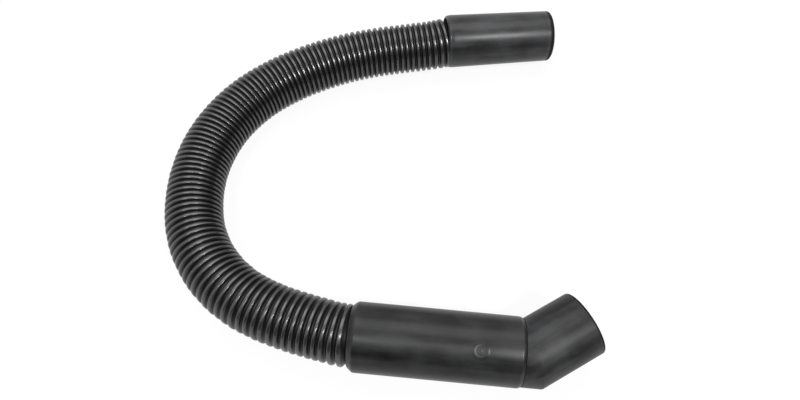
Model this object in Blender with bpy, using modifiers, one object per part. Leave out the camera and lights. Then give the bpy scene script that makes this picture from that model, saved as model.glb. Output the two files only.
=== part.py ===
"""Suction hose of a vacuum cleaner, lying on a floor as it comes to rest.

A ribbed hose has a plain neck at each end. One neck sits in a straight tapered cuff that takes a
wand. The other sits in a longer barrel cuff, and a mitred elbow plugs into the barrel's far end.

Metres, +Z up, with the floor at Z = 0. +X is the way the straight cuff points. The origin is on the
floor under the middle of the whole part.
"""

import math

import bmesh
import bpy
from mathutils import Matrix, Vector
from mathutils.geometry import interpolate_bezier

# Clearance left all round between two pieces that touch
GAP = 0.0003

# Hose, whose outer and inner walls zigzag together
CREST_RADIUS = 0.0228
ROOT_RADIUS = 0.0202
HOSE_WALL = 0.0012
NECK_RADIUS = 0.0202
NECK_BORE_RADIUS = 0.0190
NECK_DEPTH = 0.030
NECK_IN_SIGHT = 0.0030

# Rib pitch along the free hose: it is closed up on the first bend and drawn out on the last one
RIB_PITCHES = (
    (0.000, 0.00525),
    (0.130, 0.00510),
    (0.180, 0.00480),
    (0.300, 0.00485),
    (0.350, 0.00535),
    (0.420, 0.00565),
    (0.494, 0.00560),
)

# Plan of the hose's centre line, from the straight cuff's mouth round to the barrel's. It bears a
# little to one side in each mouth, as a hose with some play in its cuffs does.
ROUTE = (
    (0.0750, 0.1505),
    (0.0640, 0.1490),
    (0.0500, 0.1481),
    (0.0320, 0.1471),
    (0.0124, 0.1454),
    (-0.0121, 0.1417),
    (-0.0361, 0.1357),
    (-0.0594, 0.1274),
    (-0.0816, 0.1166),
    (-0.1021, 0.1030),
    (-0.1199, 0.0860),
    (-0.1341, 0.0662),
    (-0.1443, 0.0440),
    (-0.1502, 0.0201),
    (-0.1517, -0.0044),
    (-0.1489, -0.0289),
    (-0.1406, -0.0522),
    (-0.1273, -0.0729),
    (-0.1098, -0.0900),
    (-0.0890, -0.1032),
    (-0.0677, -0.1130),
    (-0.0487, -0.1206),
    (-0.0392, -0.1242),
    (-0.0296, -0.1270),
)
RISE_LENGTH = 0.060
GUIDE_STEPS = 6

# Straight cuff, which tapers towards its free end
STRAIGHT_MOUTH = (0.0750, 0.1516)
STRAIGHT_HEADING = 0.0
STRAIGHT_LENGTH = 0.100
STRAIGHT_HOSE_RADIUS = 0.02438
STRAIGHT_FREE_RADIUS = 0.02317
STRAIGHT_SHOULDER_LENGTH = 0.0040
STRAIGHT_SHOULDER_DROP = 0.0021
STRAIGHT_LIP_RADIUS = 0.0022
STRAIGHT_ENTRY_RADIUS = 0.0221
WAND_BORE_RADIUS = 0.0196
WAND_SEAT_RADIUS = 0.0192
WAND_BORE_CHAMFER = 0.0004

# Barrel cuff
BARREL_MOUTH = (-0.0296, -0.1272)
BARREL_HEADING = math.radians(-10.4)
BARREL_LENGTH = 0.123
BARREL_HOSE_RADIUS = 0.02532
BARREL_ELBOW_RADIUS = 0.02512
BARREL_CHAMFER_LENGTH = 0.0040
BARREL_CHAMFER_DROP = 0.0033
BARREL_ENTRY_RADIUS = 0.0218
BARREL_LIP_LENGTH = 0.0022
BARREL_LIP_DROP = 0.0009
BARREL_CHAMBER_RADIUS = 0.0220

# Both cuffs: how far the wider entry reaches in, and the ring that stops the neck
ENTRY_DEPTH = 0.014
STOP_LENGTH = 0.004

# Elbow, a sleeve mitred where it leaves the barrel
ELBOW_RADIUS = 0.0242
ELBOW_BORE_RADIUS = 0.0210
ELBOW_SPIGOT_WALL = 0.0022
ELBOW_SPIGOT_LENGTH = 0.014
ELBOW_SPIGOT_CHAMFER = 0.0010
ELBOW_STUB_LENGTH = 0.0080
ELBOW_LEG_LENGTH = 0.0446
ELBOW_LIP_RADIUS = 0.0014
ELBOW_BEND = math.radians(34.0)
ELBOW_ROLL = math.radians(12.0)

# Facets round each piece and along each rounded edge
HOSE_STEPS = 14
CUFF_STEPS = 48
EDGE_STEPS = 4
SHARP_ANGLE = math.radians(40.0)


def clear_scene():
    """Removes whatever the file held before."""
    for obj in list(bpy.data.objects):
        bpy.data.objects.remove(obj, do_unlink=True)


def new_collection(name):
    """A collection under the scene's own."""
    collection = bpy.data.collections.new(name)
    bpy.context.scene.collection.children.link(collection)
    return collection


def moulded_plastic(name, colour, roughness):
    """A plain plastic: its linear colour and its roughness."""
    material = bpy.data.materials.new(name)
    material.use_nodes = True
    shader = material.node_tree.nodes["Principled BSDF"]
    shader.inputs["Base Color"].default_value = (*colour, 1.0)
    shader.inputs["Roughness"].default_value = roughness
    shader.inputs["Metallic"].default_value = 0.0
    return material


def turned(name, outline, steps, material, collection):
    """A closed outline of (radius, height) points turned round Z. It runs down its outer side."""
    mesh = bpy.data.meshes.new(name)
    bm = bmesh.new()
    points = [bm.verts.new((radius, 0.0, height)) for radius, height in outline]
    for start, end in zip(points, points[1:] + points[:1]):
        bm.edges.new((start, end))
    bm.to_mesh(mesh)
    bm.free()
    mesh.materials.append(material)
    obj = bpy.data.objects.new(name, mesh)
    collection.objects.link(obj)
    screw = obj.modifiers.new("Turn", "SCREW")
    screw.axis = "Z"
    screw.steps = steps
    screw.render_steps = steps
    screw.use_merge_vertices = True
    screw.merge_threshold = 0.00001
    screw.use_smooth_shade = True
    return obj


def rounded_edge(radius, height, inward, along, falling):
    """Points of a quarter ellipse on a turned outer edge.

    The edge's sharp corner would be at (radius, height). The curve takes inward off the radius and
    along off the height. Falling curves start on the end face, and the others start on the side.
    """
    points = []
    for step in range(EDGE_STEPS + 1):
        angle = math.pi / 2 * step / EDGE_STEPS
        if falling:
            points.append((radius - inward * (1 - math.sin(angle)), height - along * (1 - math.cos(angle))))
        else:
            points.append((radius - inward * (1 - math.cos(angle)), height + along * (1 - math.sin(angle))))
    return points


def lay_on_floor(obj, mouth, heading, mouth_radius, far_radius, length):
    """Lays a tapered sleeve on its side, with its Z = 0 end centred over mouth."""
    droop = math.atan2(mouth_radius - far_radius, length)
    obj.location = (*mouth, mouth_radius * math.cos(droop))
    obj.rotation_euler = (0.0, math.pi / 2 + droop, heading)


def neck_socket(entry_radius):
    """Inner wall from a cuff's hose end up to the far side of its stop ring."""
    socket_radius = NECK_RADIUS + GAP
    stop = NECK_DEPTH + GAP
    return [
        (entry_radius, 0.0),
        (entry_radius, ENTRY_DEPTH),
        (socket_radius, ENTRY_DEPTH),
        (socket_radius, stop),
        (NECK_BORE_RADIUS, stop),
        (NECK_BORE_RADIUS, stop + STOP_LENGTH),
    ]


def straight_cuff(material, collection):
    """Tapered sleeve: neck socket at Z = 0, wand socket at the free end."""
    top = STRAIGHT_LENGTH
    taper = (STRAIGHT_HOSE_RADIUS - STRAIGHT_FREE_RADIUS) / STRAIGHT_LENGTH
    lip = rounded_edge(STRAIGHT_FREE_RADIUS, top, STRAIGHT_LIP_RADIUS, STRAIGHT_LIP_RADIUS, True)
    shoulder_radius = STRAIGHT_HOSE_RADIUS - taper * STRAIGHT_SHOULDER_LENGTH
    shoulder = rounded_edge(
        shoulder_radius, 0.0, STRAIGHT_SHOULDER_DROP, STRAIGHT_SHOULDER_LENGTH, False
    )
    wand_seat = NECK_DEPTH + GAP + STOP_LENGTH
    bore = [
        (WAND_SEAT_RADIUS, wand_seat),
        (WAND_BORE_RADIUS, top - WAND_BORE_CHAMFER),
        (WAND_BORE_RADIUS + WAND_BORE_CHAMFER, top),
    ]
    outline = lip + shoulder + neck_socket(STRAIGHT_ENTRY_RADIUS) + bore
    obj = turned("straight_cuff", outline, CUFF_STEPS, material, collection)
    lay_on_floor(
        obj,
        STRAIGHT_MOUTH,
        STRAIGHT_HEADING,
        STRAIGHT_HOSE_RADIUS,
        STRAIGHT_FREE_RADIUS,
        STRAIGHT_LENGTH,
    )
    return obj


def cuff_barrel(material, collection):
    """Longer sleeve: neck socket at Z = 0, an open chamber, and the elbow's seat at the far end."""
    top = BARREL_LENGTH
    outer = [
        (BARREL_ELBOW_RADIUS - BARREL_LIP_DROP, top),
        (BARREL_ELBOW_RADIUS, top - BARREL_LIP_LENGTH),
        (BARREL_HOSE_RADIUS, BARREL_CHAMFER_LENGTH),
        (BARREL_HOSE_RADIUS - BARREL_CHAMFER_DROP, 0.0),
    ]
    seat = top - ELBOW_SPIGOT_LENGTH - GAP
    seat_radius = spigot_radius() + GAP
    inner = [
        (BARREL_CHAMBER_RADIUS, NECK_DEPTH + GAP + STOP_LENGTH),
        (BARREL_CHAMBER_RADIUS, seat),
        (seat_radius, seat),
        (seat_radius, top),
    ]
    outline = outer + neck_socket(BARREL_ENTRY_RADIUS) + inner
    obj = turned("cuff_barrel", outline, CUFF_STEPS, material, collection)
    lay_on_floor(
        obj,
        BARREL_MOUTH,
        BARREL_HEADING,
        BARREL_HOSE_RADIUS,
        BARREL_ELBOW_RADIUS,
        BARREL_LENGTH,
    )
    return obj


def spigot_radius():
    """Outer radius of the elbow's plug inside the barrel."""
    return ELBOW_BORE_RADIUS + ELBOW_SPIGOT_WALL


def elbow(barrel, material, collection):
    """A stepped sleeve round Z, cut at the mitre and with its far part turned half round.

    Its Z = 0 is the middle of the mitre. Half a turn about the mitre plane's normal swings the far
    part through the whole bend and lands its cut edge on the near one.
    """
    top = ELBOW_LEG_LENGTH
    shoulder = GAP - ELBOW_STUB_LENGTH
    foot = -ELBOW_STUB_LENGTH - ELBOW_SPIGOT_LENGTH + GAP
    plug = spigot_radius()
    outline = rounded_edge(ELBOW_RADIUS, top, ELBOW_LIP_RADIUS, ELBOW_LIP_RADIUS, True)
    outline += [
        (ELBOW_RADIUS, shoulder),
        (plug, shoulder),
        (plug, foot + ELBOW_SPIGOT_CHAMFER),
        (plug - ELBOW_SPIGOT_CHAMFER, foot),
        (ELBOW_BORE_RADIUS, foot),
        (ELBOW_BORE_RADIUS, top),
    ]
    sleeve = turned("elbow_sleeve", outline, CUFF_STEPS, material, collection)
    graph = bpy.context.evaluated_depsgraph_get()
    mesh = bpy.data.meshes.new_from_object(sleeve.evaluated_get(graph))
    bpy.data.objects.remove(sleeve, do_unlink=True)

    normal = Vector((math.sin(ELBOW_BEND / 2), 0.0, math.cos(ELBOW_BEND / 2)))
    bm = bmesh.new()
    bm.from_mesh(mesh)
    everything = bm.verts[:] + bm.edges[:] + bm.faces[:]
    cut = bmesh.ops.bisect_plane(bm, geom=everything, plane_co=(0, 0, 0), plane_no=normal)
    seam = [item for item in cut["geom_cut"] if isinstance(item, bmesh.types.BMEdge)]
    bmesh.ops.split_edges(bm, edges=seam)
    far_faces = [face for face in bm.faces if face.calc_center_median().dot(normal) > 0]
    far_verts = list({vert for face in far_faces for vert in face.verts})
    half_turn = Matrix.Rotation(math.pi, 3, normal)
    bmesh.ops.rotate(bm, cent=(0, 0, 0), matrix=half_turn, verts=far_verts)
    bmesh.ops.remove_doubles(bm, verts=bm.verts, dist=0.00001)
    bm.to_mesh(mesh)
    bm.free()
    mesh.name = "elbow"
    mesh.shade_smooth()
    mesh.set_sharp_from_angle(angle=SHARP_ANGLE)

    obj = bpy.data.objects.new("elbow", mesh)
    collection.objects.link(obj)
    obj.parent = barrel
    obj.location = (0.0, 0.0, BARREL_LENGTH + ELBOW_STUB_LENGTH)
    # The barrel's own -X points up, and the elbow bends towards its own +X
    obj.rotation_euler = (0.0, 0.0, math.pi / 2 + ELBOW_ROLL)
    return obj


def smooth_through(points):
    """Samples of a smooth curve through the points, which bends like an arc at each of them."""
    tangents = [(points[1] - points[0]).normalized()]
    for before, point, after in zip(points, points[1:], points[2:]):
        back = point - before
        ahead = after - point
        turn = back.normalized() * ahead.length + ahead.normalized() * back.length
        tangents.append(turn.normalized())
    tangents.append((points[-1] - points[-2]).normalized())
    samples = [points[0]]
    for index in range(len(points) - 1):
        start = points[index]
        end = points[index + 1]
        reach = (end - start).length / 3
        leave = start + tangents[index] * reach
        arrive = end - tangents[index + 1] * reach
        samples += interpolate_bezier(start, leave, arrive, end, GUIDE_STEPS + 1)[1:]
    return samples


def axis_points(cuff, depths):
    """Points on a cuff's axis in world space, at these depths from its hose end."""
    return [cuff.matrix_world @ Vector((0.0, 0.0, depth)) for depth in depths]


def eased(share):
    """Smooth step from 0 to 1."""
    share = min(max(share, 0.0), 1.0)
    return share * share * (3 - 2 * share)


def hose_route(straight, barrel):
    """The centre line's points, from one neck's end to the other's.

    The necks are straight, on their cuffs' axes. Between the cuffs the hose lies on the floor, on
    the flats of its facets, and it rises to each cuff's axis over RISE_LENGTH.
    """
    rest = CREST_RADIUS * math.cos(math.pi / HOSE_STEPS)
    depths = (NECK_DEPTH, (NECK_DEPTH + ENTRY_DEPTH) / 2, ENTRY_DEPTH)
    first = axis_points(straight, depths)
    last = axis_points(barrel, depths[::-1])
    plan = [Vector((*point, rest)) for point in ROUTE]
    for point in plan:
        near_first = 1 - eased((point - first[-1]).length / RISE_LENGTH)
        near_last = 1 - eased((point - last[0]).length / RISE_LENGTH)
        point.z += near_first * (first[-1].z - rest)
        point.z += near_last * (last[0].z - rest)
    return first + plan + last


def guide_curve(points, collection):
    """A hidden curve through the samples, for the hose to follow."""
    data = bpy.data.curves.new("hose_guide", "CURVE")
    data.dimensions = "3D"
    data.twist_mode = "Z_UP"
    spline = data.splines.new("POLY")
    spline.points.add(len(points) - 1)
    for item, point in zip(spline.points, points):
        item.co = (*point, 1.0)
    obj = bpy.data.objects.new("hose_guide", data)
    collection.objects.link(obj)
    obj.hide_render = True
    return obj


def pitch_at(distance):
    """Rib pitch at a distance along the free hose, read between the two stations round it."""
    for (start, before), (end, after) in zip(RIB_PITCHES, RIB_PITCHES[1:]):
        if distance <= end:
            return before + (after - before) * (distance - start) / (end - start)
    return RIB_PITCHES[-1][1]


def rib_edges(free_length):
    """Where each rib begins and the last one ends, fitted to fill the free hose exactly."""
    edges = [0.0]
    while edges[-1] < free_length - pitch_at(free_length) / 2:
        edges.append(edges[-1] + pitch_at(edges[-1]))
    return [edge * free_length / edges[-1] for edge in edges]


def corrugated_hose(samples, guide, material, collection):
    """A zigzag wall turned round Z and bent along the guide."""
    whole = sum((end - start).length for start, end in zip(samples, samples[1:]))
    neck = NECK_DEPTH + NECK_IN_SIGHT
    neck_rings = (0.0, NECK_DEPTH - ENTRY_DEPTH, NECK_DEPTH, neck)
    edges = rib_edges(whole - 2 * neck)
    outer = [(NECK_RADIUS, ring) for ring in neck_rings]
    inner = [(NECK_BORE_RADIUS, ring) for ring in neck_rings]
    for start, end in zip(edges, edges[1:]):
        crest = neck + (start + end) / 2
        root = neck + end
        outer += [(CREST_RADIUS, crest), (ROOT_RADIUS, root)]
        inner += [(CREST_RADIUS - HOSE_WALL, crest), (ROOT_RADIUS - HOSE_WALL, root)]
    outer[-1:] = [(NECK_RADIUS, whole - ring) for ring in neck_rings[::-1]]
    inner[-1:] = [(NECK_BORE_RADIUS, whole - ring) for ring in neck_rings[::-1]]
    obj = turned("corrugated_hose", outer[::-1] + inner, HOSE_STEPS, material, collection)
    bend = obj.modifiers.new("Bend", "CURVE")
    bend.object = guide
    bend.deform_axis = "POS_Z"
    return obj


def main():
    """Builds the four pieces."""
    clear_scene()
    parts = new_collection("suction_hose")
    guides = new_collection("guides")
    cuff_plastic = moulded_plastic("cuff_plastic", (0.050, 0.051, 0.053), 0.42)
    hose_plastic = moulded_plastic("hose_plastic", (0.028, 0.028, 0.030), 0.36)

    straight = straight_cuff(cuff_plastic, parts)
    barrel = cuff_barrel(cuff_plastic, parts)
    bpy.context.view_layer.update()
    elbow(barrel, cuff_plastic, parts)
    samples = smooth_through(hose_route(straight, barrel))
    guide = guide_curve(samples, guides)
    corrugated_hose(samples, guide, hose_plastic, parts)


if __name__ == "__main__":
    main()
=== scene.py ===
"""Suction hose of a vacuum cleaner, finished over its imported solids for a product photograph.

A ribbed hose has a plain neck at each end. One neck sits in a straight tapered cuff, the other in
a longer barrel cuff that carries a mitred elbow. Metres, +Z up, with the floor at Z = 0. Each
sleeve is turned in a frame of its own, with its axis along Z, and laid in place in its mesh.
"""

import logging
import math
import random
from collections.abc import Callable, Sequence
from dataclasses import dataclass, field
from enum import Enum
from typing import Any

import bmesh
import bpy
from mathutils import Euler, Matrix, Vector
from mathutils.geometry import interpolate_bezier


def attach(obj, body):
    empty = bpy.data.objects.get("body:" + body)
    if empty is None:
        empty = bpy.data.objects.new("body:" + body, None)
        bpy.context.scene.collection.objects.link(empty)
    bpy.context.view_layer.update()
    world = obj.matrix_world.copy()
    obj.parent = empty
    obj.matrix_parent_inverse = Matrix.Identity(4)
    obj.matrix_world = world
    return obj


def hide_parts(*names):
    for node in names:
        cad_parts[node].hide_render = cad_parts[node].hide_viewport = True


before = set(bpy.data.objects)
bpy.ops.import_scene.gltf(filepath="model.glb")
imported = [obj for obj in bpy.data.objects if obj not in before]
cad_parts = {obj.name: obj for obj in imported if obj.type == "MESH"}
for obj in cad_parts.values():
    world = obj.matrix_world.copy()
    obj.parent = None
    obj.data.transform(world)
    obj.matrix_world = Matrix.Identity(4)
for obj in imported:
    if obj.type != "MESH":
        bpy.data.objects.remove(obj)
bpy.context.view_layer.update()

LOG = logging.getLogger("suction_hose")
MM = 0.001
BODY = "root"
MERGE_DISTANCE = 0.001 * MM
ROUND_PROFILE = 0.5
NOISE_ROUGHNESS = 0.55
NOISE_MIDDLE = 0.5
FINE_DETAIL = 2.0
Colour = tuple[float, float, float]


class Slot(Enum):
    """The record's material slots."""

    HOSE = "hose_plastic"
    CUFF = "cuff_plastic"


class Socket:
    """A node's output that maths can be written with."""

    def __init__(self, graph: "Graph", output: bpy.types.NodeSocket) -> None:
        """Keeps the graph and the output."""
        self.graph = graph
        self.output = output

    def _math(self, operation: str, *values: Any) -> "Socket":
        """Adds one Math node and returns its result."""
        inputs = dict(enumerate(values))
        return self.graph.socket("ShaderNodeMath", {"operation": operation}, inputs)

    def __add__(self, other: Any) -> "Socket":
        """self + other."""
        return self._math("ADD", self, other)

    def __radd__(self, other: Any) -> "Socket":
        """other + self."""
        return self._math("ADD", other, self)

    def __sub__(self, other: Any) -> "Socket":
        """self - other."""
        return self._math("SUBTRACT", self, other)

    def __rsub__(self, other: Any) -> "Socket":
        """other - self."""
        return self._math("SUBTRACT", other, self)

    def __mul__(self, other: Any) -> "Socket":
        """self * other."""
        return self._math("MULTIPLY", self, other)

    def __rmul__(self, other: Any) -> "Socket":
        """other * self."""
        return self._math("MULTIPLY", other, self)

    def __abs__(self) -> "Socket":
        """The size of the value, without its sign."""
        return self._math("ABSOLUTE", self)

    def root(self) -> "Socket":
        """The square root of the value."""
        return self._math("SQRT", self)

    def above(self, limit: float) -> "Socket":
        """1 where the value is over the limit, and 0 elsewhere."""
        return self._math("GREATER_THAN", self, limit)

    def ramp(self, low: float, high: float) -> "Socket":
        """Smooth step that goes from 0 at low to 1 at high, or falls where high is the lower one.

        Args:
            low: The value at which the result is 0.
            high: The value at which the result is 1.

        Returns:
            The step, between 0 and 1.
        """
        settings = {"interpolation_type": "SMOOTHSTEP", "clamp": True}
        rising = high > low
        inputs = {
            "Value": self,
            "From Min": low if rising else high,
            "From Max": high if rising else low,
            "To Min": 0.0 if rising else 1.0,
            "To Max": 1.0 if rising else 0.0,
        }
        return self.graph.socket("ShaderNodeMapRange", settings, inputs)


@dataclass(frozen=True)
class Bumps:
    """How deep a layer of bumps is, in metres, and how far it shows."""

    depth: float
    strength: float


def opaque(colour: Sequence[float]) -> tuple[float, ...]:
    """A colour as a socket takes it, with an alpha of 1."""
    return (*colour, 1.0)


class Graph:
    """A material's or a world's node tree, in which one method adds every node."""

    def __init__(self, tree: bpy.types.NodeTree) -> None:
        """Starts from an empty tree."""
        self.tree = tree
        self.tree.nodes.clear()

    def node(
        self,
        kind: str,
        settings: dict[str, Any] | None = None,
        inputs: dict[str | int, Any] | None = None,
    ) -> bpy.types.Node:
        """Adds a node, sets its settings and then fills its sockets.

        Args:
            kind: The node's type.
            settings: Its properties by name.
            inputs: Values, or sockets to link, by socket name or number.

        Returns:
            The node.
        """
        node = self.tree.nodes.new(kind)
        for name, value in (settings or {}).items():
            setattr(node, name, value)
        for key, value in (inputs or {}).items():
            if isinstance(value, Socket):
                self.tree.links.new(value.output, node.inputs[key])
            else:
                node.inputs[key].default_value = value
        return node

    def socket(
        self,
        kind: str,
        settings: dict[str, Any] | None = None,
        inputs: dict[str | int, Any] | None = None,
        output: str | int = 0,
    ) -> Socket:
        """Adds a node as node() does, and returns one of its outputs.

        Args:
            kind: The node's type.
            settings: Its properties by name.
            inputs: Values, or sockets to link, by socket name or number.
            output: Name or number of the output that is wanted.

        Returns:
            That output.
        """
        return Socket(self, self.node(kind, settings, inputs).outputs[output])

    def mix(self, share: Any, first: Any, second: Any) -> Socket:
        """Mixes two colours: first where share is 0, and second where it is 1.

        Args:
            share: A value or a socket.
            first: A linear colour of four numbers, or a socket.
            second: The same.

        Returns:
            The mixed colour.
        """
        settings = {"data_type": "RGBA"}
        return self.socket("ShaderNodeMix", settings, {0: share, 6: first, 7: second}, 2)

    def noise(self, place: Socket, scale: float, detail: float = 3.0) -> Socket:
        """Fractal noise between 0 and 1 at a place, with features about 1 / scale across."""
        inputs = {"Vector": place, "Scale": scale, "Detail": detail, "Roughness": NOISE_ROUGHNESS}
        return self.socket("ShaderNodeTexNoise", {}, inputs)

    def scaled(self, place: Socket, scale: tuple[float, float, float]) -> Socket:
        """A place with its three parts scaled, which stretches or squeezes a noise there."""
        inputs = {"Vector": place, "Scale": scale}
        return self.socket("ShaderNodeMapping", {"vector_type": "POINT"}, inputs)

    def bump(self, height: Socket, bumps: Bumps, normal: Socket | None = None) -> Socket:
        """A Bump node.

        Args:
            height: Height between 0 and 1.
            bumps: The real height of 1, and how far the bumps show.
            normal: The normal of bumps that these are added to.

        Returns:
            The bumped normal.
        """
        inputs: dict[str | int, Any] = {
            "Strength": bumps.strength,
            "Distance": bumps.depth,
            "Height": height,
        }
        if normal is not None:
            inputs["Normal"] = normal
        return self.socket("ShaderNodeBump", {}, inputs)

    def framed(self, place: Matrix) -> tuple[Socket, Socket, Socket, Socket]:
        """Object coordinates as a sleeve's own frame reads them.

        Args:
            place: The matrix that lays the sleeve in the world.

        Returns:
            The vector and its three parts.
        """
        point = self.socket("ShaderNodeTexCoord", {}, {}, "Object")
        inputs = {
            "Vector": point,
            "Location": place.to_translation(),
            "Rotation": place.to_euler(),
        }
        local = self.socket("ShaderNodeMapping", {"vector_type": "TEXTURE"}, inputs)
        split = self.node("ShaderNodeSeparateXYZ", {}, {"Vector": local})
        along_x, along_y, along_z = (Socket(self, part) for part in split.outputs)
        return local, along_x, along_y, along_z

    def plastic(self, colour: Any, roughness: Any, normal: Socket, level: float) -> Socket:
        """A plastic surface.

        Args:
            colour: Base colour.
            roughness: Roughness.
            normal: Bumped normal.
            level: Specular IOR level.

        Returns:
            The shader.
        """
        inputs = {
            "Base Color": colour,
            "Roughness": roughness,
            "Metallic": 0.0,
            "Specular IOR Level": level,
            "Normal": normal,
        }
        return self.socket("ShaderNodeBsdfPrincipled", {}, inputs)

    def blend(self, share: Socket, first: Socket, second: Socket) -> Socket:
        """Mixes two shaders: first where share is 0, and second where it is 1."""
        return self.socket("ShaderNodeMixShader", {}, {0: share, 1: first, 2: second})

    def surface(self, shader: Socket) -> None:
        """Ends the material in a shader."""
        self.node("ShaderNodeOutputMaterial", {}, {"Surface": shader})


def new_material(name: str) -> tuple[bpy.types.Material, Graph]:
    """Makes a material that is drawn with nodes.

    Args:
        name: The material's name.

    Returns:
        The material and its empty graph.
    """
    material = bpy.data.materials.new(name)
    material.use_nodes = True
    return material, Graph(material.node_tree)


@dataclass(frozen=True)
class RibbedPlastic:
    """Near-black blow-moulded plastic: glossy crests, and dull grooves darkened by painted shade.
    """

    # The grooves' colour is the crest plastic darkened as painted shade.
    groove_painted_shade: Colour = (0.0045, 0.0045, 0.0049)
    crest: Colour = (0.018, 0.018, 0.0193)
    dust: Colour = (0.040, 0.039, 0.038)
    crest_heights: tuple[float, float] = (0.40, 0.92)
    crest_level: float = 0.78
    crest_roughness: float = 0.215
    groove_level: float = 0.24
    groove_roughness: float = 0.4
    cloud_scale: float = 28.0
    cloud_roughness: float = 0.06
    speckle_scale: float = 900.0
    speckle_bumps: Bumps = Bumps(0.02 * MM, 0.08)
    streak_scale: float = 60.0
    streak_squeeze: float = 18.0
    streak_roughness: float = 0.03
    streak_bumps: Bumps = Bumps(0.10 * MM, 0.10)
    dusty_clouds: tuple[float, float] = (0.48, 0.75)
    dust_share: float = 0.10
    dust_speckle: float = 0.25

    def material(self) -> bpy.types.Material:
        """Builds the material, on the hose's own UV map and its rib attribute.

        Returns:
            The material.
        """
        material, graph = new_material("ribbed_hose_plastic")
        rib = graph.socket("ShaderNodeAttribute", {"attribute_name": "rib"}, {}, "Fac")
        place = graph.socket("ShaderNodeTexCoord", {}, {}, "UV")
        cloud = graph.noise(place, self.cloud_scale)
        speckle = graph.noise(place, self.speckle_scale, FINE_DETAIL)
        run = graph.scaled(place, (1.0, self.streak_squeeze, 1.0))
        streak = graph.noise(run, self.streak_scale, FINE_DETAIL)
        height = rib.ramp(*self.crest_heights)
        # Painted shade: the colour darkens from the crests down into the grooves by rib depth.
        colour = graph.mix(height, opaque(self.groove_painted_shade), opaque(self.crest))
        settled = self.dust_share + self.dust_speckle * speckle
        dusty = cloud.ramp(*self.dusty_clouds) * height * settled
        colour = graph.mix(dusty, colour, opaque(self.dust))
        cloudy = self.crest_roughness + self.cloud_roughness * cloud
        roughness = cloudy + self.streak_roughness * streak
        grain = graph.bump(speckle, self.speckle_bumps)
        normal = graph.bump(streak, self.streak_bumps, grain)
        crest = graph.plastic(colour, roughness, normal, self.crest_level)
        groove_painted_shade = graph.plastic(colour, self.groove_roughness, normal, self.groove_level)
        graph.surface(graph.blend(height, groove_painted_shade, crest))
        return material


@dataclass(frozen=True)
class PressMark:
    """A blank round mark left in a moulding: a shallow ring round a small dot.

    Both are flat on top, over ring_top of ring_half_width and dot_top of dot_radius.
    """

    place: Matrix
    ring_radius: float = 4.8 * MM
    ring_half_width: float = 1.7 * MM
    ring_top: float = 0.2
    dot_radius: float = 1.1 * MM
    dot_top: float = 0.3
    dot_height: float = 0.7
    reach_inwards: float = 10.0 * MM
    bumps: Bumps = Bumps(0.12 * MM, 0.8)

    def relief(self, graph: Graph) -> Socket:
        """Height of the mark over the surface round it.

        Args:
            graph: The graph that the nodes go into.

        Returns:
            The height, between 0 and 1.
        """
        _, outward, across, along = graph.framed(self.place)
        far = (across * across + along * along).root()
        from_ring = abs(far - self.ring_radius)
        ring = from_ring.ramp(self.ring_half_width, self.ring_top * self.ring_half_width)
        dot = far.ramp(self.dot_radius, self.dot_top * self.dot_radius)
        near_side = outward.above(-self.reach_inwards)
        return (ring + self.dot_height * dot) * near_side


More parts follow.
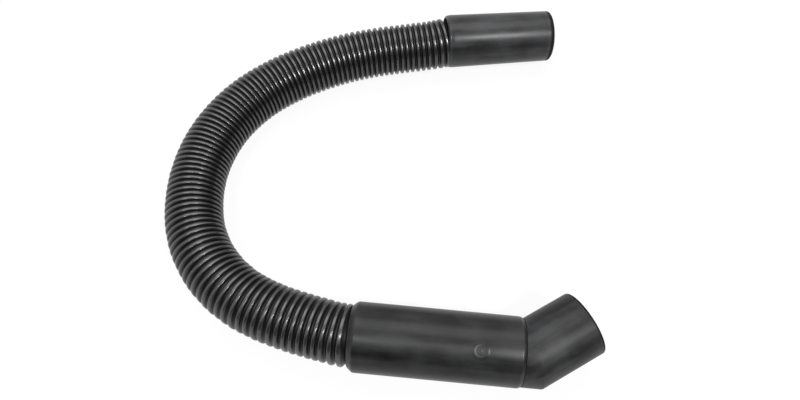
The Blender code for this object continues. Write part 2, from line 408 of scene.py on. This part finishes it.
@dataclass(frozen=True)
class GrainedPlastic:
    """Charcoal moulded plastic with a fine grain, flow marks, paler rims and a dark open end.

    The rims and the open end are heights along the sleeve. The paler rims are wear at the
    shoulders, chamfers and lips, and a painted highlight where a rim is set near a free end. The
    open end is a band of painted shade, in the plain dark colour with little gloss; it reaches
    end_width back from the open end, and is whole over the share end_whole of that.
    """

    name: str
    place: Matrix
    rims: tuple[float, ...]
    colour: Colour
    pale: Colour
    roughness: float
    level: float
    mark: PressMark | None = None
    end: float | None = None
    end_width: float = 0.0
    end_whole: float = 0.6
    end_level: float = 0.06
    end_roughness: float = 0.6
    flow_stretch: float = 0.10
    flow_scale: float = 170.0
    flow_roughness: float = 0.16
    flow_share: float = 0.45
    flow_bumps: Bumps = Bumps(0.10 * MM, 0.45)
    cloud_scale: float = 38.0
    cloud_roughness: float = 0.10
    cloud_share: float = 0.55
    pale_tones: tuple[float, float] = (0.36, 0.66)
    grain_scale: float = 1500.0
    grain_bumps: Bumps = Bumps(0.045 * MM, 0.40)
    rim_width: float = 1.1 * MM
    rim_polish: float = 0.06
    wear_and_highlight_share: float = 0.35
    wear_and_highlight_least: float = 0.3
    wear_and_highlight_gain: float = 2.0

    def material(self) -> bpy.types.Material:
        """Builds the material in the sleeve's own frame.

        Returns:
            The material.
        """
        material, graph = new_material(self.name)
        local, _, _, along = graph.framed(self.place)
        drawn = graph.scaled(local, (1.0, 1.0, self.flow_stretch))
        flow = graph.noise(drawn, self.flow_scale)
        cloud = graph.noise(local, self.cloud_scale)
        grain = graph.noise(local, self.grain_scale, FINE_DETAIL)
        tone = (self.cloud_share * cloud + self.flow_share * flow).ramp(*self.pale_tones)
        colour = graph.mix(tone, opaque(self.colour), opaque(self.pale))
        cloudy = self.roughness + self.cloud_roughness * (cloud - NOISE_MIDDLE)
        roughness = cloudy + self.flow_roughness * (flow - NOISE_MIDDLE)
        # Rims are paled: wear at shoulders, chamfers and lips, and a painted highlight where a rim
        # is set near a free end.
        wear_and_highlight = opaque([self.wear_and_highlight_gain * part for part in self.pale])
        for height in self.rims:
            rim = abs(along - height).ramp(self.rim_width, 0.0)
            colour = graph.mix(self.wear_and_highlight_share * rim * (self.wear_and_highlight_least + cloud), colour, wear_and_highlight)
            roughness = roughness - self.rim_polish * rim
        normal = graph.bump(grain, self.grain_bumps)
        normal = graph.bump(flow, self.flow_bumps, normal)
        if self.mark is not None:
            normal = graph.bump(self.mark.relief(graph), self.mark.bumps, normal)
        shader = graph.plastic(colour, roughness, normal, self.level)
        # Towards the open end the surface turns to the plain dark colour with little gloss: a band
        # of painted shade.
        if self.end is not None:
            full = self.end - self.end_whole * self.end_width
            at_end = along.ramp(self.end - self.end_width, full)
            matt = graph.plastic(opaque(self.colour), self.end_roughness, normal, self.end_level)
            shader = graph.blend(at_end, shader, matt)
        graph.surface(shader)
        return material


@dataclass(frozen=True)
class Corner:
    """A corner of a turned outline, with the distance over which it is rounded off."""

    radius: float
    height: float
    rounding: float = 0.0
    segments: int = 1


def wire_outline(corners: Sequence[Corner]) -> bmesh.types.BMesh:
    """Draws a closed outline in the XZ plane and rounds its corners.

    Args:
        corners: The corners in order.

    Returns:
        A bmesh of the outline's edges.
    """
    bm = bmesh.new()
    points = [bm.verts.new((corner.radius, 0.0, corner.height)) for corner in corners]
    for start, end in zip(points, points[1:] + points[:1]):
        bm.edges.new((start, end))
    for corner, point in zip(corners, points):
        if corner.rounding > 0.0:
            bmesh.ops.bevel(
                bm,
                geom=[point],
                offset=corner.rounding,
                offset_type="OFFSET",
                segments=corner.segments,
                profile=ROUND_PROFILE,
                affect="VERTICES",
                material=-1,
            )
    return bm


def spun(corners: Sequence[Corner], steps: int) -> bmesh.types.BMesh:
    """Turns a closed outline round Z, starting at +X, into a closed shell that faces outwards.

    Args:
        corners: The outline's corners.
        steps: Facets round the axis.

    Returns:
        A bmesh of the shell.
    """
    bm = wire_outline(corners)
    bmesh.ops.spin(
        bm,
        geom=bm.verts[:] + bm.edges[:],
        cent=(0.0, 0.0, 0.0),
        axis=(0.0, 0.0, 1.0),
        angle=math.tau,
        steps=steps,
        use_merge=True,
    )
    bmesh.ops.remove_doubles(bm, verts=bm.verts, dist=MERGE_DISTANCE)
    bmesh.ops.recalc_face_normals(bm, faces=bm.faces)
    return bm


def linked(name: str, bm: bmesh.types.BMesh, material: bpy.types.Material) -> bpy.types.Object:
    """Makes an object of a bmesh in one material, links it to the scene and frees the bmesh.

    Args:
        name: The object's name.
        bm: Its mesh.
        material: Its material.

    Returns:
        The object.
    """
    mesh = bpy.data.meshes.new(name)
    bm.to_mesh(mesh)
    bm.free()
    mesh.materials.append(material)
    made = bpy.data.objects.new(name, mesh)
    bpy.context.scene.collection.objects.link(made)
    return made


def finished(
    name: str,
    bm: bmesh.types.BMesh,
    material: bpy.types.Material,
    node: str,
    sharp_angle: float = math.radians(38.0),
) -> bpy.types.Object:
    """Makes a piece of a bmesh that is already in its place, in the stead of a CAD node.

    Args:
        name: The piece's name.
        bm: Its mesh, in the row frame.
        material: Its finish.
        node: The CAD node that it stands for.
        sharp_angle: Edges over this angle stay sharp.

    Returns:
        The piece.
    """
    piece = linked(name, bm, material)
    piece.data.shade_smooth()
    piece.data.set_sharp_from_angle(angle=sharp_angle)
    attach(piece, BODY)
    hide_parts(node)
    LOG.info("%s: %d faces", name, len(piece.data.polygons))
    return piece


@dataclass(frozen=True)
class NeckSocket:
    """The inside of a cuff's hose end: a wider entry, a close seat for the neck and a stop ring."""

    entry_radius: float
    entry_depth: float = 14.0 * MM
    seat_radius: float = 20.5 * MM
    stop: float = 30.3 * MM
    stop_length: float = 4.0 * MM
    stop_radius: float = 19.0 * MM
    entry_rounding: float = 0.3 * MM

    def corners(self) -> list[Corner]:
        """The socket's part of a cuff's outline.

        Returns:
            Its corners, from the mouth inwards.
        """
        return [
            Corner(self.entry_radius, 0.0, self.entry_rounding, segments=2),
            Corner(self.entry_radius, self.entry_depth),
            Corner(self.seat_radius, self.entry_depth),
            Corner(self.seat_radius, self.stop),
            Corner(self.stop_radius, self.stop),
            Corner(self.stop_radius, self.stop + self.stop_length),
        ]


def laid(
    mouth: tuple[float, float],
    heading: float,
    near: float,
    far: float,
    length: float,
) -> Matrix:
    """Lays a tapered sleeve on its side on the floor.

    Args:
        mouth: Plan position of its hose end's centre.
        heading: Plan angle of its axis.
        near: Its radius at the hose end.
        far: Its radius at the other end.
        length: Its length.

    Returns:
        The matrix from the sleeve's frame to the world.
    """
    droop = math.atan2(near - far, length)
    turn = Euler((0.0, math.pi / 2 + droop, heading)).to_matrix().to_4x4()
    return Matrix.Translation((*mouth, near * math.cos(droop))) @ turn


@dataclass
class StraightCuff:
    """Tapered sleeve with the hose's neck in one end and a wand's socket in the other.

    The step in the shoulder is at shares of its drop and length. The paler rims are at shares of
    shoulder_length and end_band: wear on the shoulder, and a painted highlight near the free end,
    beside the band of painted shade, end_band wide, at that end.
    """

    mouth: tuple[float, float] = (0.0750, 0.1516)
    heading: float = 0.0
    length: float = 100.0 * MM
    hose_radius: float = 24.38 * MM
    free_radius: float = 23.17 * MM
    lip: float = 2.9 * MM
    end_band: float = 5.0 * MM
    shoulder_length: float = 4.0 * MM
    shoulder_drop: float = 2.1 * MM
    shoulder_rounding: float = 1.6 * MM
    step_height: float = 0.72
    step_reach: float = 0.25
    step_rounding: float = 0.6 * MM
    edge_rounding: float = 0.15 * MM
    bore_radius: float = 19.6 * MM
    seat_radius: float = 19.2 * MM
    bore_chamfer: float = 0.4 * MM
    rim_shares: tuple[float, float] = (0.5, 1.1)
    socket: NeckSocket = field(default_factory=lambda: NeckSocket(22.1 * MM))
    steps: int = 144

    def place(self) -> Matrix:
        """From the cuff's frame to the world."""
        return laid(self.mouth, self.heading, self.hose_radius, self.free_radius, self.length)

    def corners(self) -> list[Corner]:
        """The outline of the turned sleeve.

        Returns:
            Its corners, down the outer side and back up the bore.
        """
        top = self.length
        edge = self.hose_radius - self.shoulder_drop
        step_radius = edge + self.step_height * self.shoulder_drop
        step = self.step_reach * self.shoulder_length
        seat = self.socket.stop + self.socket.stop_length
        return [
            Corner(self.free_radius, top, self.lip, segments=6),
            Corner(self.hose_radius, self.shoulder_length, self.shoulder_rounding, segments=5),
            Corner(step_radius, step, self.step_rounding, segments=3),
            Corner(edge, 0.0, self.edge_rounding, segments=2),
            *self.socket.corners(),
            Corner(self.seat_radius, seat),
            Corner(self.bore_radius, top - self.bore_chamfer),
            Corner(self.bore_radius + self.bore_chamfer, top, self.edge_rounding, segments=2),
        ]

    def build(self) -> bpy.types.Object:
        """Makes the cuff in its place and dresses it.

        Returns:
            The cuff.
        """
        bm = spun(self.corners(), self.steps)
        bmesh.ops.transform(bm, matrix=self.place(), verts=bm.verts)
        hose_rim, free_end_highlight = self.rim_shares
        # The rim near the free end is paled as a painted highlight.
        rims = (hose_rim * self.shoulder_length, self.length - free_end_highlight * self.end_band)
        finish = GrainedPlastic(
            "straight_cuff_plastic",
            self.place(),
            rims,
            colour=(0.013, 0.0132, 0.0139),
            pale=(0.042, 0.0426, 0.0445),
            # The last end_band of the cuff is darkened as painted shade.
            end=self.length,
            end_width=self.end_band,
            roughness=0.33,
            level=0.255,
        )
        return finished("straight_cuff_moulding", bm, finish.material(), "straight_cuff")


@dataclass
class BarrelCuff:
    """Longer sleeve with the hose's neck in one end, an open chamber and the elbow's seat.

    The chamfer's rim, paled as wear, is at rim_share of its length.
    """

    mouth: tuple[float, float] = (-0.0296, -0.1272)
    heading: float = math.radians(-10.4)
    length: float = 123.0 * MM
    hose_radius: float = 25.32 * MM
    elbow_radius: float = 25.12 * MM
    chamfer_length: float = 4.0 * MM
    chamfer_drop: float = 3.3 * MM
    chamfer_rounding: float = 0.9 * MM
    lip_length: float = 2.2 * MM
    lip_drop: float = 0.9 * MM
    lip_rounding: float = 0.5 * MM
    edge_rounding: float = 0.2 * MM
    chamber_radius: float = 22.0 * MM
    seat_radius: float = 23.5 * MM
    seat_depth: float = 14.3 * MM
    socket: NeckSocket = field(default_factory=lambda: NeckSocket(21.8 * MM))
    mark_depth: float = 91.8 * MM
    mark_angle: float = math.radians(-160.9)
    rim_share: float = 0.9
    steps: int = 144

    def place(self) -> Matrix:
        """From the barrel's frame to the world."""
        return laid(self.mouth, self.heading, self.hose_radius, self.elbow_radius, self.length)

    def corners(self) -> list[Corner]:
        """The outline of the turned sleeve.

        Returns:
            Its corners, down the outer side and back up the bore.
        """
        top = self.length
        floor = top - self.seat_depth
        return [
            Corner(self.elbow_radius - self.lip_drop, top, self.edge_rounding, segments=2),
            Corner(self.elbow_radius, top - self.lip_length, self.lip_rounding, segments=3),
            Corner(self.hose_radius, self.chamfer_length, self.chamfer_rounding, segments=4),
            Corner(self.hose_radius - self.chamfer_drop, 0.0),
            *self.socket.corners(),
            Corner(self.chamber_radius, self.socket.stop + self.socket.stop_length),
            Corner(self.chamber_radius, floor),
            Corner(self.seat_radius, floor),
            Corner(self.seat_radius, top),
        ]

    def mark(self) -> PressMark:
        """The blank round mark on the upper side near the elbow.

        Returns:
            The mark, in its place.
        """
        turned = Matrix.Rotation(self.mark_angle, 4, "Z")
        outward = Matrix.Translation((self.elbow_radius, 0.0, self.mark_depth))
        return PressMark(self.place() @ turned @ outward)

    def build(self) -> bpy.types.Object:
        """Makes the barrel in its place and dresses it.

        Returns:
            The barrel.
        """
        bm = spun(self.corners(), self.steps)
        bmesh.ops.transform(bm, matrix=self.place(), verts=bm.verts)
        rims = (self.rim_share * self.chamfer_length, self.length - self.lip_length)
        finish = GrainedPlastic(
            "barrel_plastic",
            self.place(),
            rims,
            colour=(0.0050, 0.0051, 0.0054),
            pale=(0.0235, 0.0239, 0.0250),
            mark=self.mark(),
            roughness=0.36,
            level=0.265,
        )
        return finished("cuff_barrel_moulding", bm, finish.material(), "cuff_barrel")


@dataclass
class Elbow:
    """A sleeve plugged into the barrel and mitred where it leaves it."""

    barrel: BarrelCuff
    radius: float = 24.2 * MM
    bore_radius: float = 21.0 * MM
    spigot_wall: float = 2.2 * MM
    spigot_length: float = 14.0 * MM
    spigot_chamfer: float = 1.0 * MM
    stub: float = 8.0 * MM
    leg: float = 44.6 * MM
    lip: float = 1.4 * MM
    bend: float = math.radians(34.0)
    roll: float = math.radians(12.0)
    gap: float = 0.3 * MM
    shoulder_rounding: float = 0.3 * MM
    bore_rounding: float = 0.5 * MM
    mitre_rounding: float = 0.7 * MM
    seam_distance: float = 0.01 * MM
    # Width of the band of painted shade at the leg's open end.
    painted_shade_end: float = 1.9 * MM
    steps: int = 144

    def place(self) -> Matrix:
        """From the elbow's frame, whose origin is the middle of the mitre, to the world."""
        shift = Matrix.Translation((0.0, 0.0, self.barrel.length + self.stub))
        return self.barrel.place() @ shift @ Matrix.Rotation(math.pi / 2 + self.roll, 4, "Z")

    def corners(self) -> list[Corner]:
        """The outline of the sleeve before it is mitred.

        Returns:
            Its corners, down the outer side and back up the bore.
        """
        shoulder = self.gap - self.stub
        foot = self.gap - self.stub - self.spigot_length
        plug = self.bore_radius + self.spigot_wall
        return [
            Corner(self.radius, self.leg, self.lip, segments=5),
            Corner(self.radius, shoulder, self.shoulder_rounding, segments=2),
            Corner(plug, shoulder),
            Corner(plug, foot + self.spigot_chamfer),
            Corner(plug - self.spigot_chamfer, foot),
            Corner(self.bore_radius, foot),
            Corner(self.bore_radius, self.leg, self.bore_rounding, segments=3),
        ]

    def mitred(self, bm: bmesh.types.BMesh) -> None:
        """Cuts the sleeve at the mitre, turns its far part half round and rounds the outer seam.

        Args:
            bm: The straight sleeve, which is changed.
        """
        normal = Vector((math.sin(self.bend / 2), 0.0, math.cos(self.bend / 2)))
        geometry = bm.verts[:] + bm.edges[:] + bm.faces[:]
        cut = bmesh.ops.bisect_plane(bm, geom=geometry, plane_co=(0, 0, 0), plane_no=normal)
        seam = [item for item in cut["geom_cut"] if isinstance(item, bmesh.types.BMEdge)]
        bmesh.ops.split_edges(bm, edges=seam)
        far_faces = [face for face in bm.faces if face.calc_center_median().dot(normal) > 0.0]
        far_verts = list({vert for face in far_faces for vert in face.verts})
        half_turn = Matrix.Rotation(math.pi, 3, normal)
        bmesh.ops.rotate(bm, cent=(0, 0, 0), matrix=half_turn, verts=far_verts)
        bmesh.ops.remove_doubles(bm, verts=bm.verts, dist=self.seam_distance)
        outer = 0.5 * (self.radius + self.bore_radius)
        mitre = [
            edge
            for edge in bm.edges
            if all(
                abs(vert.co.dot(normal)) < self.seam_distance and vert.co.xy.length > outer
                for vert in edge.verts
            )
        ]
        bmesh.ops.bevel(
            bm,
            geom=mitre,
            offset=self.mitre_rounding,
            offset_type="OFFSET",
            segments=3,
            profile=ROUND_PROFILE,
            affect="EDGES",
            material=-1,
        )
        bmesh.ops.recalc_face_normals(bm, faces=bm.faces)

    def build(self) -> bpy.types.Object:
        """Makes the elbow in its place and dresses it.

        Returns:
            The elbow.
        """
        bm = spun(self.corners(), self.steps)
        self.mitred(bm)
        bmesh.ops.transform(bm, matrix=self.place(), verts=bm.verts)
        leg_frame = self.place() @ Matrix.Rotation(self.bend, 4, "Y")
        finish = GrainedPlastic(
            "elbow_plastic",
            leg_frame,
            (),
            colour=(0.0060, 0.0061, 0.0065),
            pale=(0.0360, 0.0366, 0.0383),
            # The leg's open end is darkened as painted shade.
            end=self.leg,
            end_width=self.painted_shade_end,
            roughness=0.46,
            level=0.26,
        )
        return finished("elbow_moulding", bm, finish.material(), "elbow")


def eased(share: float) -> float:
    """Smooth step from 0 to 1."""
    share = min(max(share, 0.0), 1.0)
    return share * share * (3.0 - 2.0 * share)


@dataclass
class HoseRoute:
    """The hose's centre line, from one neck's end to the other's, at its height over the floor."""

    first: Matrix
    last: Matrix
    rest: float
    plan: tuple[tuple[float, float], ...] = (
        (0.0750, 0.1505),
        (0.0640, 0.1490),
        (0.0500, 0.1481),
        (0.0320, 0.1471),
        (0.0124, 0.1454),
        (-0.0121, 0.1417),
        (-0.0361, 0.1357),
        (-0.0594, 0.1274),
        (-0.0816, 0.1166),
        (-0.1021, 0.1030),
        (-0.1199, 0.0860),
        (-0.1341, 0.0662),
        (-0.1443, 0.0440),
        (-0.1502, 0.0201),
        (-0.1517, -0.0044),
        (-0.1489, -0.0289),
        (-0.1406, -0.0522),
        (-0.1273, -0.0729),
        (-0.1098, -0.0900),
        (-0.0890, -0.1032),
        (-0.0677, -0.1130),
        (-0.0487, -0.1206),
        (-0.0392, -0.1242),
        (-0.0296, -0.1270),
    )
    neck_depths: tuple[float, ...] = (30.0 * MM, 22.0 * MM, 14.0 * MM)
    rise_length: float = 60.0 * MM
    samples_each: int = 12
    samples: list[Vector] = field(init=False)
    stations: list[float] = field(init=False)

    def __post_init__(self) -> None:
        """Samples the line once."""
        self.samples = self._smooth(self._points())
        self.stations = [0.0]
        for start, end in zip(self.samples, self.samples[1:]):
            self.stations.append(self.stations[-1] + (end - start).length)

    @property
    def length(self) -> float:
        """Length along the line."""
        return self.stations[-1]

    def _points(self) -> list[Vector]:
        """Points on the line: straight in both necks, and rising from the floor to each cuff.

        Returns:
            The points in order.
        """
        first = [self.first @ Vector((0.0, 0.0, depth)) for depth in self.neck_depths]
        last = [self.last @ Vector((0.0, 0.0, depth)) for depth in self.neck_depths[::-1]]
        middle = [Vector((*point, self.rest)) for point in self.plan]
        for point in middle:
            near_first = 1.0 - eased((point - first[-1]).length / self.rise_length)
            near_last = 1.0 - eased((point - last[0]).length / self.rise_length)
            point.z += near_first * (first[-1].z - self.rest)
            point.z += near_last * (last[0].z - self.rest)
        return first + middle + last

    def _smooth(self, points: list[Vector]) -> list[Vector]:
        """Draws a smooth curve through points, which bends like an arc at each of them.

        Args:
            points: The points in order.

        Returns:
            Samples of the curve.
        """
        tangents = [(points[1] - points[0]).normalized()]
        for before, point, after in zip(points, points[1:], points[2:]):
            back = point - before
            ahead = after - point
            turn = back.normalized() * ahead.length + ahead.normalized() * back.length
            tangents.append(turn.normalized())
        tangents.append((points[-1] - points[-2]).normalized())
        samples = [points[0]]
        for index, (start, end) in enumerate(zip(points, points[1:])):
            reach = (end - start).length / 3.0
            leave = start + tangents[index] * reach
            arrive = end - tangents[index + 1] * reach
            samples += interpolate_bezier(start, leave, arrive, end, self.samples_each + 1)[1:]
        return samples

    def frame_at(self, distance: float) -> Matrix:
        """The frame across the line at a distance along it, with -X up and Z ahead.

        Args:
            distance: Metres from the line's start.

        Returns:
            A matrix whose origin is on the line.
        """
        index = 1
        while index < len(self.stations) - 1 and self.stations[index] < distance:
            index += 1
        before = self.stations[index - 1]
        share = (distance - before) / (self.stations[index] - before)
        point = self.samples[index - 1].lerp(self.samples[index], share)
        tangent = self._tangent(index - 1).lerp(self._tangent(index), share).normalized()
        aside = tangent.cross(Vector((0.0, 0.0, 1.0))).normalized()
        up = aside.cross(tangent)
        columns = Matrix((-up, -aside, tangent)).transposed().to_4x4()
        return Matrix.Translation(point) @ columns

    def _tangent(self, index: int) -> Vector:
        """Direction of the line at a sample.

        Args:
            index: The sample's number.

        Returns:
            A unit vector.
        """
        before = self.samples[max(index - 1, 0)]
        after = self.samples[min(index + 1, len(self.samples) - 1)]
        return (after - before).normalized()


@dataclass
class RibbedHose:
    """The hose: rounded ribs between plain necks, bent along its route.

    Crests and roots take up shares of a rib's pitch, and their roundings are shares of half that.
    """

    route: HoseRoute
    crest_radius: float = 22.8 * MM
    root_radius: float = 20.0 * MM
    wall: float = 1.1 * MM
    neck_radius: float = 20.2 * MM
    neck_bore: float = 19.0 * MM
    neck_depth: float = 30.0 * MM
    neck_in_sight: float = 0.8 * MM
    crest_share: float = 0.40
    crest_dome: float = 0.12 * MM
    crest_rounding: float = 0.50
    shoulder_rounding: float = 0.44
    sharp_angle: float = math.radians(60.0)
    root_share: float = 0.24
    root_rounding: float = 0.56
    pitches: tuple[tuple[float, float], ...] = (
        (0.000, 0.00525),
        (0.130, 0.00510),
        (0.180, 0.00480),
        (0.300, 0.00485),
        (0.350, 0.00535),
        (0.420, 0.00565),
        (0.494, 0.00560),
    )
    unevenness: float = 0.10 * MM
    seed: int = 7
    ring_digits: int = 7
    steps: int = 56

    def pitch_at(self, distance: float) -> float:
        """Rib pitch along the free hose, read between the stations on both sides.

        Args:
            distance: Metres from the first rib's start.

        Returns:
            The pitch in metres.
        """
        for (start, before), (end, after) in zip(self.pitches, self.pitches[1:]):
            if distance <= end:
                return before + (after - before) * (distance - start) / (end - start)
        return self.pitches[-1][1]

    def rib_edges(self, free_length: float) -> list[float]:
        """Sets out the ribs so that they fill the free hose exactly.

        Args:
            free_length: Length of the hose between its plain necks.

        Returns:
            Where each rib begins, and where the last one ends.
        """
        edges = [0.0]
        while edges[-1] < free_length - self.pitch_at(free_length) / 2:
            edges.append(edges[-1] + self.pitch_at(edges[-1]))
        return [edge * free_length / edges[-1] for edge in edges]

    def corners(self) -> list[Corner]:
        """The outline of the straight hose, with a little unevenness from rib to rib.

        Returns:
            Its corners, back along the ribs and out along the bore.
        """
        uneven = random.Random(self.seed)
        whole = self.route.length
        neck = self.neck_depth + self.neck_in_sight
        edges = self.rib_edges(whole - 2 * neck)
        outer = [Corner(self.neck_radius, 0.0), Corner(self.neck_radius, neck)]
        inner = [Corner(self.neck_bore, 0.0), Corner(self.neck_bore, neck)]
        for start, end in zip(edges, edges[1:]):
            middle = neck + (start + end) / 2
            half = 0.5 * self.crest_share * (end - start)
            foot = 0.5 * self.root_share * (end - start)
            turn = self.shoulder_rounding * half
            root_turn = self.root_rounding * foot
            crest = self.crest_radius - abs(uneven.gauss(0.0, self.unevenness))
            lean = uneven.gauss(0.0, self.unevenness)
            shoulder = crest - self.crest_dome
            outer += [
                Corner(shoulder, middle - half + lean, turn, segments=3),
                Corner(crest, middle + lean, self.crest_rounding * half, segments=2),
                Corner(shoulder, middle + half + lean, turn, segments=3),
                Corner(self.root_radius, neck + end - foot, root_turn, segments=1),
                Corner(self.root_radius, neck + end + foot, root_turn, segments=1),
            ]
            inner += [
                Corner(crest - self.wall, middle),
                Corner(self.neck_bore, neck + end),
            ]
        outer[-2:] = [Corner(self.neck_radius, whole - neck), Corner(self.neck_radius, whole)]
        inner[-1:] = [Corner(self.neck_bore, whole - neck), Corner(self.neck_bore, whole)]
        return outer[::-1] + inner

    def mapped(self, bm: bmesh.types.BMesh) -> None:
        """Writes the UV map, in metres round and along, and each point's share of the rib height.

        Args:
            bm: The straight hose.
        """
        round_length = math.tau * self.crest_radius
        layer = bm.loops.layers.uv.new("UVMap")
        rib = bm.verts.layers.float.new("rib")
        for vert in bm.verts:
            depth = vert.co.xy.length - self.root_radius
            vert[rib] = depth / (self.crest_radius - self.root_radius)
        for face in bm.faces:
            middle = face.calc_center_median()
            facing = math.atan2(middle.y, middle.x)
            for loop in face.loops:
                angle = math.atan2(loop.vert.co.y, loop.vert.co.x)
                turn = facing + math.remainder(angle - facing, math.tau)
                loop[layer].uv = (turn / math.tau * round_length, loop.vert.co.z)

    def bent(self, bm: bmesh.types.BMesh) -> None:
        """Moves each ring of the straight hose to its place across the route.

        Args:
            bm: The straight hose, which is changed.
        """
        frames: dict[float, Matrix] = {}
        for vert in bm.verts:
            distance = round(vert.co.z, self.ring_digits)
            if distance not in frames:
                frames[distance] = self.route.frame_at(distance)
            vert.co = frames[distance] @ Vector((vert.co.x, vert.co.y, 0.0))

    def build(self) -> bpy.types.Object:
        """Returns:
            The hose.
        """
        bm = spun(self.corners(), self.steps)
        self.mapped(bm)
        self.bent(bm)
        piece = finished(
            "ribbed_hose",
            bm,
            RibbedPlastic().material(),
            "corrugated_hose",
            self.sharp_angle,
        )
        self.route.first @ Vector((0.0, 0.0, 0.5 * self.neck_depth))
        2.0 * self.crest_radius
        return piece


@dataclass(frozen=True)
class SoftBox:
    """A rectangular lamp that faces the object from a direction."""

    name: str
    direction: tuple[float, float, float]
    distance: float
    width: float
    depth: float
    radiance: float

    def build(self) -> None:
        """Makes the lamp."""
        data = bpy.data.lights.new(self.name, "AREA")
        data.shape = "RECTANGLE"
        data.size = self.width
        data.size_y = self.depth
        data.energy = self.radiance * math.pi * self.width * self.depth
        lamp = bpy.data.objects.new(self.name, data)
        toward = Vector(self.direction).normalized()
        lamp.location = toward * self.distance
        lamp.rotation_euler = toward.to_track_quat("Z", "Y").to_euler()
        bpy.context.scene.collection.objects.link(lamp)


@dataclass(frozen=True)
class DarkCard:
    """An upright dark card that stands out of the camera's sight and is seen in the gloss."""

    name: str
    place: tuple[float, float, float]
    heading: float
    half_width: float
    half_height: float
    colour: Colour = (0.02, 0.02, 0.02)

    def build(self) -> None:
        """Makes the card and hides it from the camera."""
        bm = bmesh.new()
        bmesh.ops.create_grid(bm, x_segments=1, y_segments=1, size=1.0)
        bmesh.ops.scale(bm, vec=(self.half_width, self.half_height, 1.0), verts=bm.verts)
        turn = Euler((math.pi / 2, 0.0, self.heading)).to_matrix().to_4x4()
        bmesh.ops.transform(bm, matrix=Matrix.Translation(self.place) @ turn, verts=bm.verts)
        material, graph = new_material(f"{self.name}_cloth")
        graph.surface(graph.socket("ShaderNodeBsdfDiffuse", {}, {"Color": opaque(self.colour)}))
        card = linked(self.name, bm, material)
        card.visible_camera = False


@dataclass
class Studio:
    """The camera, the pale floor, the lamps, the dark cards and the world round them."""

    camera_place: tuple[float, float, float] = (-0.0039, -0.2475, 0.4436)
    camera_pitch: float = math.radians(61.19)
    camera_heading: float = math.radians(4.97)
    lens: float = 26.29
    sensor_width: float = 36.0
    clip_start: float = 0.01
    clip_end: float = 20.0
    floor_half_side: float = 3.0
    floor_colour: Colour = (0.96, 0.96, 0.96)
    shadow_share: float = 0.09
    world_light: float = 0.20
    cards: tuple[DarkCard, ...] = (
        DarkCard(
            "front_card",
            place=(0.0, -1.2, 0.55),
            heading=0.0,
            half_width=1.8,
            half_height=0.55,
        ),
        DarkCard(
            "right_card",
            place=(1.5, 0.2, 0.45),
            heading=math.pi / 2,
            half_width=1.3,
            half_height=0.45,
        ),
    )
    lamps: tuple[SoftBox, ...] = (
        SoftBox(
            "back_box",
            direction=(0.0, 0.42, 0.91),
            distance=1.8,
            width=2.2,
            depth=1.1,
            radiance=2.6,
        ),
        SoftBox(
            "front_right_lamp",
            direction=(0.340, -0.455, 0.825),
            distance=3.0,
            width=0.40,
            depth=0.40,
            radiance=108.0,
        ),
        SoftBox(
            "front_left_lamp",
            direction=(-0.277, -0.363, 0.889),
            distance=2.6,
            width=0.30,
            depth=0.30,
            radiance=52.0,
        ),
    )

    def camera(self) -> None:
        """The camera at the photograph's place and angle."""
        data = bpy.data.cameras.new("camera")
        data.sensor_fit = "HORIZONTAL"
        data.sensor_width = self.sensor_width
        data.lens = self.lens
        data.clip_start = self.clip_start
        data.clip_end = self.clip_end
        camera = bpy.data.objects.new("camera", data)
        camera.location = self.camera_place
        camera.rotation_euler = (math.pi / 2 - self.camera_pitch, 0.0, -self.camera_heading)
        bpy.context.scene.collection.objects.link(camera)
        bpy.context.scene.camera = camera

    def floor(self) -> None:
        """A plain pale floor that reads white and keeps a soft share of the shadow."""
        bm = bmesh.new()
        bmesh.ops.create_grid(bm, x_segments=1, y_segments=1, size=self.floor_half_side)
        material, graph = new_material("floor_paper")
        matt = graph.socket("ShaderNodeBsdfDiffuse", {}, {"Color": opaque(self.floor_colour)})
        white = graph.socket("ShaderNodeEmission", {}, {"Strength": 1.0})
        share = self.seen(graph) * (1.0 - self.shadow_share)
        graph.surface(graph.blend(share, matt, white))
        linked("floor", bm, material)

    def seen(self, graph: Graph) -> Socket:
        """1 for camera, glossy and transmission rays, and 0 for the rest.

        Args:
            graph: The graph that the node goes into.

        Returns:
            The share.
        """
        path = graph.node("ShaderNodeLightPath")
        names = ("Is Camera Ray", "Is Glossy Ray", "Is Transmission Ray")
        camera, glossy, through = (Socket(graph, path.outputs[name]) for name in names)
        return (camera + glossy + through).above(0.5)

    def world(self) -> None:
        """White where it is seen, and dimmer as a light."""
        world = bpy.data.worlds.new("studio_world")
        world.use_nodes = True
        graph = Graph(world.node_tree)
        strength = self.world_light + (1.0 - self.world_light) * self.seen(graph)
        inputs = {"Color": (1.0, 1.0, 1.0, 1.0), "Strength": strength}
        sky = graph.socket("ShaderNodeBackground", {}, inputs)
        graph.node("ShaderNodeOutputWorld", {}, {"Surface": sky})
        bpy.context.scene.world = world

    def build(self) -> None:
        """Makes all of it."""
        self.camera()
        self.floor()
        self.world()
        for item in (*self.cards, *self.lamps):
            item.build()
        bpy.context.scene.view_settings.view_transform = "Standard"


def main() -> None:
    """Builds the studio and the four pieces, in order, and reports each of them."""
    logging.basicConfig(level=logging.INFO, format="%(name)s: %(message)s")
    Studio().build()
    straight = StraightCuff()
    barrel = BarrelCuff()
    hose = RibbedHose(HoseRoute(straight.place(), barrel.place(), RibbedHose.crest_radius))
    makers: tuple[Callable[[], bpy.types.Object], ...] = (
        hose.build,
        straight.build,
        barrel.build,
        Elbow(barrel).build,
    )
    for make in makers:
        piece = make()
        LOG.info("made %s with %s", piece.name, piece.data.materials[0].name)


if __name__ == "__main__":
    main()
